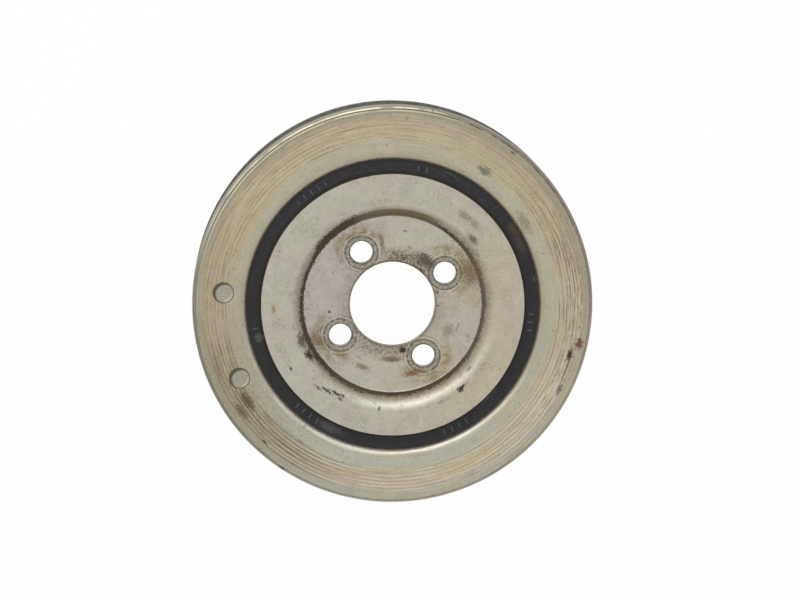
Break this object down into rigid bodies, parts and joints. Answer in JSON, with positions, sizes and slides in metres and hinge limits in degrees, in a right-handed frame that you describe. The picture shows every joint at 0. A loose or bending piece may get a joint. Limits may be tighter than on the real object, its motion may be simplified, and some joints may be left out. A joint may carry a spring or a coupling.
{
  "type": "crankshaft pulley",
  "caption": "Crankshaft pulley with a rubber torsional damper: a dished steel hub with a bore and bolt holes, bonded through a rubber ring to a steel ring with poly-V belt grooves.",
  "frame": {"origin": "On the crank axis, in the plane of the belt ring's rear face, on which the pulley lies.", "axes": "+Z is the crank axis, out of the front face and away from the engine. +X is to the right and +Y is up when the front face is seen from the front, with the two balance drillings on the -X side."},
  "size_m": [0.1502, 0.1502, 0.0265],
  "materials": {
    "hub_steel": "zinc plated and yellow passivated, satin, worn and grimy in the dish corner",
    "damper_rubber": "matt moulded rubber, faintly dusty",
    "ring_steel": "turned, zinc plated and yellow passivated, satin, with small rust spots"
  },
  "bodies": {
    "root": {"hub": "hub_steel", "rubber_ring": "damper_rubber", "pulley_ring": "ring_steel"}
  },
  "joints": []
}
